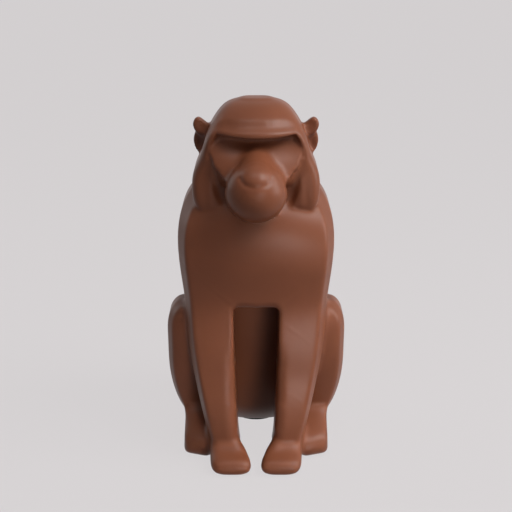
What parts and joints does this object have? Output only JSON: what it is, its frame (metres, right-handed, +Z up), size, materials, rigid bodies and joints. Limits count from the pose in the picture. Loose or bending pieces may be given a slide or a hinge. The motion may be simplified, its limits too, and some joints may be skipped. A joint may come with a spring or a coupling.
{
  "type": "animal figurine",
  "caption": "Seated baboon ornament cast in brown resin, with a hooded head, long straight forelegs and haunches at its sides, on felt pads",
  "frame": {"origin": "on the floor under the middle of the footprint, between the hands and the tail", "axes": "+Z is up, the face looks along -Y, the animal's own left is at +X"},
  "size_m": [0.1186, 0.1601, 0.24],
  "materials": {
    "painted_resin": "satin",
    "dowel_wood": "bare",
    "felt": "matte"
  },
  "bodies": {
    "root": {"trunk": "painted_resin", "arm_left": "painted_resin", "arm_right": "painted_resin", "hind_leg_left": "painted_resin", "hind_leg_right": "painted_resin", "head_hood": "painted_resin", "face_mask": "painted_resin", "ear_left": "painted_resin", "ear_right": "painted_resin", "tail": "painted_resin", "neck_pin": "dowel_wood", "shoulder_pins": "dowel_wood", "hip_pins": "dowel_wood", "face_pin": "dowel_wood", "ear_pins": "dowel_wood", "tail_pin": "dowel_wood", "hand_pads": "felt", "foot_pads": "felt", "rump_pad": "felt"}
  },
  "joints": []
}
